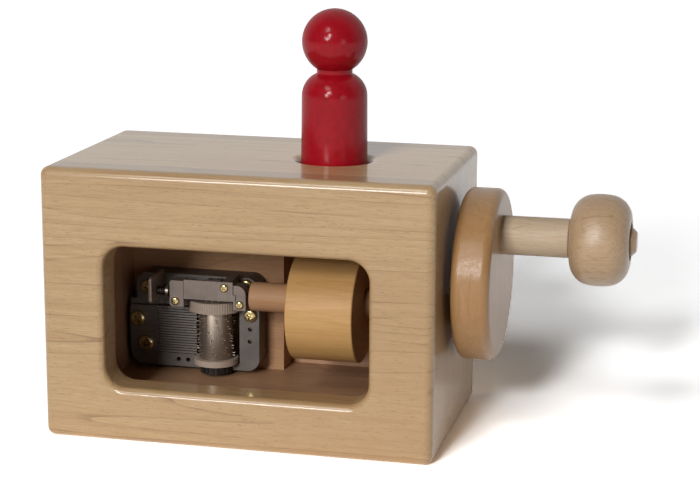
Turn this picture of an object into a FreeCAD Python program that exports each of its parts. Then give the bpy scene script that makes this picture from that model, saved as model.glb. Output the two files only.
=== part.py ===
import FreeCAD, Part
import math
import os

# A wooden crank toy: a maple box with a window in front, a peg figure standing in a hole in the lid,
# an eccentric wheel under the figure, and a small comb musical movement that the same shaft turns.
# Millimetres. X runs along the shaft to the crank, Y to the back, Z up.
# The origin is the centre of the box's underside, on the table.

V = FreeCAD.Vector

# Box
case_width = 146.05
case_depth = 88.9
case_height = 101.6
board = 12.7
edge_round = 3.2

# Window in the front board
window_width = 99.0
window_bottom = 20.4
window_top = 73.4
window_corner = 8.0
window_round = 2.6

# Shaft line
shaft_height = 47.0
shaft_radius = 5.55
shaft_end_from_wall = 54.4
shaft_end_ease = 0.8
running_gap = 0.08

# Figure and its hole in the lid
figure_x = 26.2
hole_gap = 0.6
hole_round = 3.2
figure_foot_radius = 12.55
figure_chest_radius = 12.15
figure_foot_ease = 0.8
figure_shoulder_height = 125.2
neck_radius = 6.6
shoulder_arc = 9.1
head_radius = 12.1
figure_top = 157.3
foot_gap = 0.3

# Eccentric wheel
cam_radius = 20.0
cam_width = 25.4
cam_throw = 5.0
cam_angle = 192.6
cam_ease = 0.6

# Crank disc and its handle
disc_radius = 31.75
disc_thickness = 14.2
disc_round = 3.2
disc_wall_gap = 2.8
disc_offset = 14.4
disc_socket_depth = 9.5
pin_radius = 7.15
pin_offset = 15.0
pin_free_length = 24.6
pin_end_ease = 0.6

# Knob and the peg that it turns on
knob_radius = 16.8
knob_length = 21.6
knob_side_arc = 23.3
knob_corner_arc = 8.2
knob_end_gap = 0.3
knob_recess_radius = 7.0
knob_recess_depth = 3.6
peg_radius = 2.8
peg_head_radius = 5.0
peg_head_length = 5.5
peg_head_ease = 1.4
peg_head_gap = 0.3
peg_socket_depth = 12.0

# The musical movement, placed from the left wall's inner face and from the shaft line.
# Its lower end keeps its gaps to the floor of the box.
block_front = 19.7
block_length = 61.7

# Movement bed, a zinc casting like a shallow tray
bed_left = 2.4
bed_right = 54.7
bed_floor_gap = 1.7
bed_top = 4.6
bed_step_height = -6.0
bed_step_in = 2.6
bed_corner = 5.0
bed_front = 9.0
bed_plate = 2.5
bed_wall = 1.6
bed_window_margin = 0.6
locating_hole_radius = 0.9
upper_locating_holes = ((51.1, -15.8), (50.9, -20.7))
lower_locating_holes = (21.8, 25.7)
lower_locating_rise = 2.8

# Pinned cylinder and its arbor, which stands upright
cylinder_x = 37.575
cylinder_y = 8.0
cylinder_radius = 6.6
cylinder_floor_gap = 7.0
cylinder_top = -7.9
arbor_radius = 1.0
arbor_gap = 0.05
arbor_top = 3.9
arbor_end_cover = 0.6
arbor_end_gap = 0.2
melody_pin_radius = 0.3
melody_pin_height = 1.0
melody_pin_root = 0.6
melody_row_count = 18
melody_pins_per_row = 4
melody_step_angle = 137.5
key_slot_width = 0.9
key_slot_length = 1.9
key_slot_depth = 0.8
key_slot_angle = -108.0
end_ring_radius = 8.6
end_ring_thickness = 2.3
bush_radius = 6.2
bush_height = 3.2
bush_gap = 0.3
bush_rib_count = 18
bush_rib_depth = 0.35
bush_rib_width = 0.8
top_lug_width = 5.5
top_lug_reach = 2.5
top_lug_thickness = 1.6

# Worm drive: one thread on the worm, and this many teeth on the wheel
wheel_teeth = 16
gear_module = 0.75
wheel_addendum = 0.5
worm_addendum = 0.7
worm_core_radius = 1.35
tooth_tip_gap = 0.2
side_play = 0.15
thread_half_width = 0.36
pressure_angle = 20.0
worm_half_turns = 2
worm_end_length = 1.0
flange_radius = 10.6
flange_thickness = 4.2
wheel_top = 1.9

# Steel shaft through the worm, and what carries it
worm_shaft_radius = 1.0
worm_shaft_gap = 0.05
worm_shaft_left = 16.9
worm_shaft_socket = 12.0
thread_stub_radius = 1.7
thread_stub_length = 3.4
thread_stub_grooves = 5
thread_groove_depth = 0.35
collar_radius = 2.3
collar_length = 1.1
collar_gap = 1.4
end_bearing_left = 22.9
end_bearing_right = 28.4
end_bearing_leg_right = 26.3
bearing_bottom = -5.0
bearing_top = 5.2
bearing_front = -4.0
bearing_pad_back = 1.5
bearing_corner = 1.0
bracket_plate_left = 28.7
bracket_plate_right = 48.2
bracket_plate_bottom = -1.6
bracket_plate_top = 5.9
bracket_plate_front = -4.6
bracket_plate_thickness = 1.2
bracket_pad_right = 53.1
bracket_pad_top = 4.6
bracket_pad_corner = 3.6
bracket_leg_left = 48.7
bracket_leg_top = -1.2
bracket_post_left = 43.6
bracket_post_right = 46.9
bracket_post_bottom = 2.3
end_stop_right = 16.6
end_stop_thickness = 1.4
end_stop_front = -7.0
end_stop_bottom = -4.0
end_stop_top = 6.4
end_stop_corner = 1.5
end_stop_foot = 3.4
end_stop_foot_thickness = 1.0

# Comb
comb_left = 2.6
comb_heel_right = 13.8
comb_floor_gap = 7.5
comb_top = -8.3
comb_heel_thickness = 1.5
tine_thickness = 1.0
tine_lift = 0.3
tine_slot = 0.28
comb_tip_gap = 0.2
comb_corner = 1.2

# Screws: head radius, head height, shank radius, shank length
comb_screw = (3.1, 1.8, 1.2, 4.0)
bracket_screw = (1.6, 1.0, 0.7, 14.5)
mounting_screw = (2.7, 1.6, 1.2, 16.0)
comb_screw_places = ((6.0, 0.708), (9.3, 0.184))
mounting_screw_places = ((9.7, -1.1), (49.7, 1.6), (51.3, -10.1))
end_bearing_screw = (25.1, -2.8)
post_screw = (44.8, 3.6)
pad_screw = (50.7, -2.8)
recess_width = 0.28
recess_depth = 0.5

# Worked out from the sizes above
front_face = -case_depth / 2
back_face = case_depth / 2
inner_front = front_face + board
inner_back = back_face - board
inner_left = -case_width / 2 + board
inner_right = case_width / 2 - board
floor_top = board
ceiling = case_height - board
hole_radius = figure_foot_radius + hole_gap
cam_left = figure_x - cam_width / 2
cam_y = cam_throw * math.cos(math.radians(cam_angle))
cam_z = shaft_height + cam_throw * math.sin(math.radians(cam_angle))
figure_foot = shaft_height + cam_throw + cam_radius + foot_gap
disc_back = case_width / 2 + disc_wall_gap
disc_face = disc_back + disc_thickness
disc_z = shaft_height + disc_offset
pin_z = disc_z + pin_offset
pin_end = disc_face + pin_free_length
knob_start = pin_end + knob_end_gap
knob_end = knob_start + knob_length
shaft_left_end = inner_left + shaft_end_from_wall
floor_line = floor_top - shaft_height
bed_bottom = floor_line + bed_floor_gap
bed_back = bed_front + bed_plate
cylinder_bottom = floor_line + cylinder_floor_gap
comb_bottom = floor_line + comb_floor_gap
melody_pin_reach = cylinder_radius + melody_pin_height
comb_tip = cylinder_x - math.hypot(melody_pin_reach, melody_pin_radius) - comb_tip_gap
tine_pitch = (comb_top - comb_bottom) / melody_row_count
comb_screw_spots = [(x, comb_bottom + share * (comb_top - comb_bottom)) for x, share in comb_screw_places]
lower_holes = [(x, bed_bottom + lower_locating_rise) for x in lower_locating_holes]
locating_holes = list(upper_locating_holes) + lower_holes
wheel_pitch_radius = gear_module * wheel_teeth / 2
worm_pitch_radius = cylinder_y - wheel_pitch_radius
worm_pitch = math.pi * gear_module
worm_tip_radius = worm_pitch_radius + worm_addendum
worm_length = 2 * worm_half_turns * worm_pitch + 2 * worm_end_length
flange_bottom = cylinder_top
flange_top = flange_bottom + flange_thickness
ring_bottom = cylinder_bottom - end_ring_thickness
bush_top = ring_bottom - bush_gap
bush_bottom = bush_top - bush_height
collar_right = end_bearing_left - collar_gap
worm_shaft_right = shaft_end_from_wall + worm_shaft_socket


def box(x0, x1, y0, y1, z0, z1):
    return Part.makeBox(x1 - x0, y1 - y0, z1 - z0, V(x0, y0, z0))


def rod_x(radius, x0, x1, y, z):
    return Part.makeCylinder(radius, x1 - x0, V(x0, y, z), V(1, 0, 0))


def rod_z(radius, z0, z1, x, y):
    return Part.makeCylinder(radius, z1 - z0, V(x, y, z0), V(0, 0, 1))


def hole_y(radius, y0, y1, x, z):
    return Part.makeCylinder(radius, y1 - y0, V(x, y0, z), V(0, 1, 0))


def join(first, *others):
    return first.multiFuse(list(others)).removeSplitter()


def arc(start, middle, end):
    return Part.Arc(start, middle, end).toShape()


def eased(solid, size, chosen):
    """The solid with every edge that chosen() picks rounded."""
    return solid.makeFillet(size, [edge for edge in solid.Edges if chosen(edge)])


def circles_at(axis, position):
    """Picks the round edges that lie in one plane across an axis."""
    def chosen(edge):
        low = getattr(edge.BoundBox, axis + "Min")
        high = getattr(edge.BoundBox, axis + "Max")
        return abs(low - position) < 1e-4 and abs(high - position) < 1e-4
    return chosen


def straight_edges(direction):
    """Picks straight edges that run along one direction."""
    def chosen(edge):
        return isinstance(edge.Curve, Part.Line) and abs(edge.Curve.Direction.dot(direction)) > 1 - 1e-6
    return chosen


def save(shape, node):
    if not shape.isValid():
        raise RuntimeError(node + " is not a valid solid")
    shape.exportStep("parts/" + node + ".step")


def save_movement(shape, node):
    """Saves a piece of the movement, which is drawn from the left wall and the shaft line."""
    shape.translate(V(inner_left, 0, shaft_height))
    save(shape, node)


def case_block():
    """The whole box as one rounded block, which the six boards are cut from."""
    block = box(-case_width / 2, case_width / 2, front_face, back_face, 0, case_height)
    return block.makeFillet(edge_round, block.Edges)


def front_panel(block):
    panel = block.common(box(-case_width, case_width, front_face, inner_front, 0, case_height))
    half = window_width / 2
    opening = box(-half, half, front_face - board, inner_front + board, window_bottom, window_top)
    opening = eased(opening, window_corner, straight_edges(V(0, 1, 0)))
    panel = panel.cut(opening)

    def rim(edge):
        bounds = edge.BoundBox
        on_face = abs(bounds.YMin - front_face) < 1e-4 and abs(bounds.YMax - front_face) < 1e-4
        inside = bounds.XMin > -half - 1e-4 and bounds.XMax < half + 1e-4
        return on_face and inside and bounds.ZMin > window_bottom - 1e-4 and bounds.ZMax < window_top + 1e-4

    return eased(panel, window_round, rim)


def top_panel(block):
    panel = block.common(box(-case_width, case_width, inner_front, inner_back, ceiling, case_height))
    panel = panel.cut(rod_z(hole_radius, ceiling - board, case_height + board, figure_x, 0))

    def rim(edge):
        bounds = edge.BoundBox
        return abs(bounds.ZMin - case_height) < 1e-4 and abs(bounds.XLength - 2 * hole_radius) < 1e-3

    return eased(panel, hole_round, rim)


def right_panel(block):
    panel = block.common(box(inner_right, case_width, inner_front, inner_back, floor_top, ceiling))
    return panel.cut(rod_x(shaft_radius + running_gap, inner_right - board, case_width, 0, shaft_height))


def case_boards():
    block = case_block()
    back = block.common(box(-case_width, case_width, inner_back, back_face, 0, case_height))
    bottom = block.common(box(-case_width, case_width, inner_front, inner_back, 0, floor_top))
    left = block.common(box(-case_width, inner_left, inner_front, inner_back, floor_top, ceiling))
    save(front_panel(block), "front_panel")
    save(back, "back_panel")
    save(top_panel(block), "top_panel")
    save(bottom, "bottom_panel")
    save(left, "left_panel")
    save(right_panel(block), "right_panel")


def peg_figure():
    """A plain turned figure: round head, short neck, sloping shoulders and a straight body."""
    head_z = figure_top - head_radius
    chin_z = head_z - math.sqrt(head_radius ** 2 - neck_radius ** 2)
    arc_x = figure_chest_radius - shoulder_arc
    neck_z = figure_shoulder_height + math.sqrt(shoulder_arc ** 2 - (neck_radius - arc_x) ** 2)
    slope = math.radians(45)
    shoulder_middle = V(arc_x + shoulder_arc * math.cos(slope), 0,
                        figure_shoulder_height + shoulder_arc * math.sin(slope))
    axis_bottom = V(0, 0, figure_foot)
    foot_inner = V(figure_foot_radius - figure_foot_ease, 0, figure_foot)
    foot_outer = V(figure_foot_radius, 0, figure_foot + figure_foot_ease)
    chest = V(figure_chest_radius, 0, figure_shoulder_height)
    neck_low = V(neck_radius, 0, neck_z)
    chin = V(neck_radius, 0, chin_z)
    crown = V(0, 0, figure_top)
    wire = Part.Wire([
        Part.makeLine(axis_bottom, foot_inner),
        Part.makeLine(foot_inner, foot_outer),
        Part.makeLine(foot_outer, chest),
        arc(chest, shoulder_middle, neck_low),
        Part.makeLine(neck_low, chin),
        arc(chin, V(head_radius, 0, head_z), crown),
        Part.makeLine(crown, axis_bottom),
    ])
    figure = Part.Face(wire).revolve(V(0, 0, 0), V(0, 0, 1), 360)
    figure.translate(V(figure_x, 0, 0))
    save(figure, "peg_figure")


def lift_cam():
    cam = rod_x(cam_radius, cam_left, cam_left + cam_width, cam_y, cam_z)
    cam = eased(cam, cam_ease, lambda edge: isinstance(edge.Curve, Part.Circle))
    save(cam.cut(rod_x(shaft_radius, cam_left - 1, cam_left + cam_width + 1, 0, shaft_height)), "lift_cam")


def drive_shaft():
    shaft = rod_x(shaft_radius, shaft_left_end, disc_back + disc_socket_depth, 0, shaft_height)
    shaft = eased(shaft, shaft_end_ease, circles_at("X", shaft_left_end))
    socket = rod_x(worm_shaft_radius, shaft_left_end - 1, shaft_left_end + worm_shaft_socket, 0, shaft_height)
    save(shaft.cut(socket), "drive_shaft")


def crank_disc():
    disc = rod_x(disc_radius, disc_back, disc_face, 0, disc_z)
    disc = eased(disc, disc_round, lambda edge: isinstance(edge.Curve, Part.Circle))
    shaft_socket = rod_x(shaft_radius, disc_back - 1, disc_back + disc_socket_depth, 0, shaft_height)
    pin_socket = rod_x(pin_radius, disc_face - disc_socket_depth, disc_face + 1, 0, pin_z)
    save(disc.cut(shaft_socket).cut(pin_socket), "crank_disc")


def crank_pin():
    pin = rod_x(pin_radius, disc_face - disc_socket_depth, pin_end, 0, pin_z)
    pin = eased(pin, pin_end_ease, circles_at("X", pin_end))
    save(pin.cut(rod_x(peg_radius, pin_end - peg_socket_depth, pin_end + 1, 0, pin_z)), "crank_pin")


def knob():
    """A barrel with well rounded ends, bored for its peg and recessed for the peg's head."""
    arc_r = knob_radius - knob_side_arc
    middle = knob_length / 2
    corner_r = arc_r + math.sqrt((knob_side_arc - knob_corner_arc) ** 2 - (middle - knob_corner_arc) ** 2)
    tangent = math.atan2(corner_r - arc_r, knob_corner_arc - middle)
    corner_middle = (tangent + math.pi) / 2

    def at(x, r):
        return V(knob_start + x, r, 0)

    def corner_point(angle, mirrored):
        x = knob_corner_arc + knob_corner_arc * math.cos(angle)
        return at(knob_length - x if mirrored else x, corner_r + knob_corner_arc * math.sin(angle))

    wire = Part.Wire([
        Part.makeLine(at(0, 0), at(0, corner_r)),
        arc(at(0, corner_r), corner_point(corner_middle, False), corner_point(tangent, False)),
        arc(corner_point(tangent, False), at(middle, knob_radius), corner_point(tangent, True)),
        arc(corner_point(tangent, True), corner_point(corner_middle, True), at(knob_length, corner_r)),
        Part.makeLine(at(knob_length, corner_r), at(knob_length, 0)),
        Part.makeLine(at(knob_length, 0), at(0, 0)),
    ])
    barrel = Part.Face(wire).revolve(V(0, 0, 0), V(1, 0, 0), 360)
    barrel.translate(V(0, 0, pin_z))
    bore = rod_x(peg_radius + running_gap, knob_start - 1, knob_end + 1, 0, pin_z)
    recess = rod_x(knob_recess_radius, knob_end - knob_recess_depth, knob_end + 1, 0, pin_z)
    save(barrel.cut(bore).cut(recess), "knob")


def knob_peg():
    head_start = knob_end - knob_recess_depth + peg_head_gap
    head = rod_x(peg_head_radius, head_start, head_start + peg_head_length, 0, pin_z)
    rim = [edge for edge in head.Edges if circles_at("X", head_start + peg_head_length)(edge)]
    head = head.makeChamfer(peg_head_ease, rim)
    shank = rod_x(peg_radius, pin_end - peg_socket_depth, head_start, 0, pin_z)
    save(join(head, shank), "knob_peg")


def screw(kind, place, seat):
    """A pan head screw with a cross recess, driven along +Y, its head sitting on the plane y = seat."""
    head_radius, head_height, shank_radius, shank_length = kind
    head = Part.makeCylinder(head_radius, head_height)
    head = eased(head, head_height * 0.7, circles_at("Z", head_height))
    shank = Part.makeCylinder(shank_radius, shank_length, V(0, 0, -shank_length))
    body = join(head, shank)
    reach = head_radius * 0.55
    top = head_height - recess_depth
    body = body.cut(box(-reach, reach, -recess_width, recess_width, top, head_height + 1))
    body = body.cut(box(-recess_width, recess_width, -reach, reach, top, head_height + 1))
    body.rotate(V(0, 0, 0), V(0, 0, 1), 35)
    body.rotate(V(0, 0, 0), V(1, 0, 0), 90)
    body.translate(V(place[0], seat, place[1]))
    return body


def screw_hole(kind, place, y0, y1):
    return hole_y(kind[2], y0, y1, place[0], place[1])


def mounting_block():
    block = box(0, block_length, block_front, inner_back, floor_line, ceiling - shaft_height)
    for place in mounting_screw_places:
        block = block.cut(screw_hole(mounting_screw, place, block_front - 1, bed_front + mounting_screw[3]))
    save_movement(block, "mounting_block")


def bed_outline(inset, y0, y1):
    """The casting's outline as a solid, drawn in by an even inset."""
    lower = box(bed_left + inset, bed_right - inset, y0, y1, bed_bottom + inset, bed_step_height)
    upper = box(bed_left + bed_step_in + inset, bed_right - inset, y0, y1, bed_step_height, bed_top - inset)
    corners = (
        (bed_left + inset, bed_bottom + inset),
        (bed_right - inset, bed_bottom + inset),
        (bed_left + bed_step_in + inset, bed_top - inset),
        (bed_right - inset, bed_top - inset),
    )

    def outer_corner(edge):
        if not straight_edges(V(0, 1, 0))(edge):
            return False
        spot = edge.Vertexes[0].Point
        return any(math.hypot(spot.x - x, spot.z - z) < 1e-4 for x, z in corners)

    return eased(join(lower, upper), bed_corner - inset, outer_corner)


def movement_bed():
    """A plate on four walls, open under the comb's tines and round the cylinder and its wheel."""
    bed = bed_outline(0, bed_front, block_front)
    bed = bed.cut(bed_outline(bed_wall, bed_back, block_front + 1))
    margin = bed_window_margin
    tine_window = box(comb_heel_right, cylinder_x, bed_front - 1, bed_back + 1,
                      comb_bottom - margin, comb_top + margin)
    cylinder_slot = box(cylinder_x - end_ring_radius - margin, cylinder_x + end_ring_radius + margin,
                        bed_front - 1, bed_back + 1, bush_top, flange_bottom)
    flange_slot = box(cylinder_x - flange_radius - margin, cylinder_x + flange_radius + margin,
                      bed_front - 1, bed_back + 1, flange_bottom - margin, wheel_top + bush_gap)
    bush_slot = box(cylinder_x - bush_radius, cylinder_x + bush_radius,
                    bed_front - 1, block_front + 1, bed_bottom - 1, bush_top + margin)
    for opening in (tine_window, cylinder_slot, flange_slot, bush_slot):
        bed = bed.cut(opening)
    lug = box(cylinder_x - top_lug_width / 2, cylinder_x + top_lug_width / 2,
              cylinder_y - top_lug_reach, bed_back, arbor_top - top_lug_thickness, arbor_top)
    bed = join(bed, lug)
    bed = bed.cut(rod_z(arbor_radius + arbor_gap, wheel_top, arbor_top + 1, cylinder_x, cylinder_y))
    for place in locating_holes:
        bed = bed.cut(hole_y(locating_hole_radius, bed_front - 1, bed_back + 1, place[0], place[1]))
    for kind, places in ((comb_screw, comb_screw_spots), (mounting_screw, mounting_screw_places),
                         (bracket_screw, (end_bearing_screw, post_screw, pad_screw))):
        for place in places:
            bed = bed.cut(screw_hole(kind, place, bed_front - 1, bed_back + 1))
    save_movement(bed, "movement_bed")


def mounting_screws():
    screws = [screw(mounting_screw, place, bed_front) for place in mounting_screw_places]
    save_movement(Part.makeCompound(screws), "mounting_screws")


def comb():
    """A steel plate with a thick heel and one thin tine for each row of pins on the cylinder."""
    heel = box(comb_left, comb_heel_right, bed_front - comb_heel_thickness, bed_front, comb_bottom, comb_top)
    heel = eased(heel, comb_corner, lambda edge: straight_edges(V(0, 1, 0))(edge)
                 and edge.BoundBox.XMax < comb_left + 1)
    tine_back = bed_front - tine_lift
    tines = box(comb_heel_right - 1, comb_tip, tine_back - tine_thickness, tine_back, comb_bottom, comb_top)
    plate = join(heel, tines)
    for row in range(1, melody_row_count):
        z = comb_bottom + row * tine_pitch
        plate = plate.cut(box(comb_heel_right, comb_tip + 1, bed_front - comb_heel_thickness - 1, bed_front + 1,
                              z - tine_slot / 2, z + tine_slot / 2))
    for place in comb_screw_spots:
        plate = plate.cut(screw_hole(comb_screw, place, bed_front - comb_heel_thickness - 1, bed_front + 1))
    save_movement(plate, "comb")


def comb_screws():
    seat = bed_front - comb_heel_thickness
    screws = [screw(comb_screw, place, seat) for place in comb_screw_spots]
    save_movement(Part.makeCompound(screws), "comb_screws")


def pin_cylinder():
    """The music cylinder with the pins of a made-up tune, and a key slot near its upper end."""
    body = rod_z(cylinder_radius, cylinder_bottom, cylinder_top, cylinder_x, cylinder_y)
    pins = []
    for row in range(melody_row_count):
        z = comb_bottom + (row + 0.5) * tine_pitch
        if z + melody_pin_radius > cylinder_top or z - melody_pin_radius < cylinder_bottom:
            continue
        for repeat in range(melody_pins_per_row):
            angle = math.radians(row * melody_step_angle + repeat * 360 / melody_pins_per_row)
            out = V(math.cos(angle), math.sin(angle), 0)
            start = V(cylinder_x, cylinder_y, z) + out * (cylinder_radius - melody_pin_root)
            pins.append(Part.makeCylinder(melody_pin_radius, melody_pin_height + melody_pin_root, start, out))
    body = join(body, *pins)
    slot = box(cylinder_radius - key_slot_depth, cylinder_radius + 1, -key_slot_width / 2, key_slot_width / 2,
               cylinder_top - key_slot_length, cylinder_top + 1)
    slot.rotate(V(0, 0, 0), V(0, 0, 1), key_slot_angle)
    slot.translate(V(cylinder_x, cylinder_y, 0))
    bore = rod_z(arbor_radius, cylinder_bottom - 1, cylinder_top + 1, cylinder_x, cylinder_y)
    save_movement(body.cut(slot).cut(bore), "pin_cylinder")


def cylinder_ring():
    ring = rod_z(end_ring_radius, ring_bottom, cylinder_bottom, cylinder_x, cylinder_y)
    bore = rod_z(arbor_radius, ring_bottom - 1, cylinder_bottom + 1, cylinder_x, cylinder_y)
    save_movement(ring.cut(bore), "cylinder_ring")


def cylinder_arbor():
    arbor_bottom = bush_bottom + arbor_end_cover + arbor_end_gap
    arbor = rod_z(arbor_radius, arbor_bottom, arbor_top, cylinder_x, cylinder_y)
    save_movement(arbor, "cylinder_arbor")


def end_bush():
    """The black moulded bush under the cylinder, ribbed in front and square behind, held in the bed's slot."""
    bush = rod_z(bush_radius, bush_bottom, bush_top, cylinder_x, cylinder_y)
    for index in range(bush_rib_count):
        angle = index * 360 / bush_rib_count
        groove = box(bush_radius - bush_rib_depth, bush_radius + 1, -bush_rib_width / 2, bush_rib_width / 2,
                     bush_bottom - 1, bush_top + 1)
        groove.rotate(V(0, 0, 0), V(0, 0, 1), angle)
        groove.translate(V(cylinder_x, cylinder_y, 0))
        bush = bush.cut(groove)
    bush = join(bush, box(cylinder_x - bush_radius, cylinder_x + bush_radius, bed_front, block_front,
                          bush_bottom, bush_top))
    bore = rod_z(arbor_radius + arbor_gap, bush_bottom + arbor_end_cover, bush_top + 1, cylinder_x, cylinder_y)
    save_movement(bush.cut(bore), "end_bush")


def worm_wheel():
    """A moulded wheel: a plain flange below, and slanted teeth above that the worm runs in."""
    tip_radius = wheel_pitch_radius + wheel_addendum
    root_radius = cylinder_y - worm_tip_radius - tooth_tip_gap
    slant = gear_module / (2 * worm_pitch_radius)
    flare = math.tan(math.radians(pressure_angle))
    half_gap = worm_pitch / 4 + side_play
    outer_radius = tip_radius + 0.3
    half_outer = half_gap + (outer_radius - wheel_pitch_radius) * flare
    half_root = half_gap - (wheel_pitch_radius - root_radius) * flare
    half_height = wheel_top + 2
    wheel = rod_z(tip_radius, flange_top, wheel_top, 0, 0)
    shift = -half_height * slant
    corners = [
        V(shift - half_root, -root_radius, -half_height),
        V(shift + half_root, -root_radius, -half_height),
        V(shift + half_outer, -outer_radius, -half_height),
        V(shift - half_outer, -outer_radius, -half_height),
    ]
    section = Part.Face(Part.makePolygon(corners + corners[:1]))
    gap = section.extrude(V(2 * half_height * slant, 0, 2 * half_height))
    gap = gap.common(box(-cylinder_radius, cylinder_radius, -2 * tip_radius, 0, flange_top, wheel_top + 1))
    for index in range(wheel_teeth):
        turned = gap.copy()
        turned.rotate(V(0, 0, 0), V(0, 0, 1), index * 360 / wheel_teeth)
        wheel = wheel.cut(turned)
    wheel.translate(V(cylinder_x, cylinder_y, 0))
    wheel = join(wheel, rod_z(flange_radius, flange_bottom, flange_top, cylinder_x, cylinder_y))
    bore = rod_z(arbor_radius, flange_bottom - 1, wheel_top + 1, cylinder_x, cylinder_y)
    save_movement(wheel.cut(bore), "worm_wheel")


def worm():
    """A brass sleeve with one right-hand thread, in mesh with the wheel at rest."""
    flare = math.tan(math.radians(pressure_angle))
    half_tip = thread_half_width - worm_addendum * flare
    inner_radius = worm_core_radius - 0.1
    half_inner = thread_half_width + (worm_pitch_radius - inner_radius) * flare
    turns = 2 * worm_half_turns
    helix = Part.makeHelix(worm_pitch, turns * worm_pitch, worm_pitch_radius)
    corners = [
        V(inner_radius, 0, -half_inner),
        V(worm_tip_radius, 0, -half_tip),
        V(worm_tip_radius, 0, half_tip),
        V(inner_radius, 0, half_inner),
    ]
    profile = Part.makePolygon(corners + corners[:1])
    thread = Part.Wire(helix.Edges).makePipeShell([profile], True, True)
    thread.translate(V(0, 0, -turns * worm_pitch / 2))
    core = Part.makeCylinder(worm_core_radius, worm_length, V(0, 0, -worm_length / 2))
    sleeve = core.fuse(thread)
    sleeve = sleeve.cut(Part.makeCylinder(worm_shaft_radius, worm_length + 2, V(0, 0, -worm_length / 2 - 1)))
    sleeve.rotate(V(0, 0, 0), V(1, 1, 1), 120)
    sleeve.translate(V(cylinder_x, 0, 0))
    save_movement(sleeve, "worm")


def worm_shaft():
    """The steel shaft from the end stop to its socket in the wooden shaft, with a threaded left end."""
    shaft = rod_x(worm_shaft_radius, worm_shaft_left, worm_shaft_right, 0, 0)
    shaft = join(shaft, rod_x(thread_stub_radius, worm_shaft_left, worm_shaft_left + thread_stub_length, 0, 0))
    groove_pitch = thread_stub_length / thread_stub_grooves
    for index in range(thread_stub_grooves):
        left = worm_shaft_left + (index + 0.5) * groove_pitch - groove_pitch / 4
        groove = rod_x(thread_stub_radius + 1, left, left + groove_pitch / 2, 0, 0)
        shaft = shaft.cut(groove.cut(rod_x(thread_stub_radius - thread_groove_depth,
                                           left - 1, left + groove_pitch, 0, 0)))
    save_movement(shaft, "worm_shaft")


def shaft_collar():
    left = collar_right - collar_length
    collar = rod_x(collar_radius, left, collar_right, 0, 0)
    save_movement(collar.cut(rod_x(worm_shaft_radius, left - 1, collar_right + 1, 0, 0)), "shaft_collar")


def shaft_bore(x0, x1):
    return rod_x(worm_shaft_radius + worm_shaft_gap, x0 - 1, x1 + 1, 0, 0)


def end_bearing():
    """The left bearing block: a pad round the shaft on a narrower leg, screwed to the bed."""
    pad = box(end_bearing_left, end_bearing_right, bearing_front, bearing_pad_back, bearing_bottom, bearing_top)
    pad = eased(pad, bearing_corner, lambda edge: straight_edges(V(0, 1, 0))(edge)
                and edge.BoundBox.XMax < end_bearing_left + 1)
    leg = box(end_bearing_left, end_bearing_leg_right, bearing_pad_back, bed_front,
              bearing_bottom, bracket_leg_top)
    block = join(pad, leg).cut(shaft_bore(end_bearing_left, end_bearing_right))
    block = block.cut(screw_hole(bracket_screw, end_bearing_screw, bearing_front - 1, bed_front + 1))
    save_movement(block, "end_bearing")


def worm_bracket():
    """One casting: a plate over the worm, a bearing pad at its right on a leg, and a post behind the plate."""
    plate_back = bracket_plate_front + bracket_plate_thickness
    plate = box(bracket_plate_left, bracket_plate_right, bracket_plate_front, plate_back,
                bracket_plate_bottom, bracket_plate_top)
    pad = box(bracket_plate_right, bracket_pad_right, bearing_front, bearing_pad_back,
              bearing_bottom, bracket_pad_top)
    pad = eased(pad, bracket_pad_corner, lambda edge: straight_edges(V(0, 1, 0))(edge)
                and edge.BoundBox.XMin > bracket_pad_right - 1 and edge.BoundBox.ZMin > bracket_leg_top)
    leg = box(bracket_leg_left, bracket_pad_right, bearing_pad_back, bed_front,
              bearing_bottom, bracket_leg_top)
    web = box(bracket_post_right, bracket_plate_right + 1, bracket_plate_front, plate_back,
              bracket_plate_bottom, bracket_pad_top - bracket_pad_corner)
    post = box(bracket_post_left, bracket_post_right, plate_back, bed_front,
               bracket_post_bottom, bracket_plate_top)
    bracket = join(plate, pad, leg, web, post)
    bracket = bracket.cut(shaft_bore(bracket_plate_right, bracket_pad_right))
    for place in (post_screw, pad_screw):
        bracket = bracket.cut(screw_hole(bracket_screw, place, bracket_plate_front - 1, bed_front + 1))
    save_movement(bracket, "worm_bracket")


def bracket_screws():
    screws = [
        screw(bracket_screw, end_bearing_screw, bearing_front),
        screw(bracket_screw, post_screw, bracket_plate_front),
        screw(bracket_screw, pad_screw, bearing_front),
    ]
    save_movement(Part.makeCompound(screws), "bracket_screws")


def end_stop():
    """A bent tab that stands on the bed and takes the end thrust of the steel shaft."""
    left = end_stop_right - end_stop_thickness
    tab = box(left, end_stop_right, end_stop_front, bed_front, end_stop_bottom, end_stop_top)
    tab = eased(tab, end_stop_corner, lambda edge: straight_edges(V(1, 0, 0))(edge)
                and edge.BoundBox.YMax < end_stop_front + 1)
    foot = box(left, end_stop_right + end_stop_foot, bed_front - end_stop_foot_thickness, bed_front,
               end_stop_bottom, bed_top - bed_corner)
    save_movement(join(tab, foot), "end_stop")


def main():
    os.makedirs("parts", exist_ok=True)
    case_boards()
    mounting_block()
    movement_bed()
    mounting_screws()
    comb()
    comb_screws()
    end_bearing()
    worm_bracket()
    bracket_screws()
    end_stop()
    end_bush()
    pin_cylinder()
    cylinder_ring()
    cylinder_arbor()
    worm_wheel()
    worm()
    worm_shaft()
    shaft_collar()
    drive_shaft()
    lift_cam()
    crank_disc()
    crank_pin()
    knob()
    knob_peg()
    peg_figure()


main()
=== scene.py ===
import bmesh
import bpy
import math
from mathutils import Matrix, Vector


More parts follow.
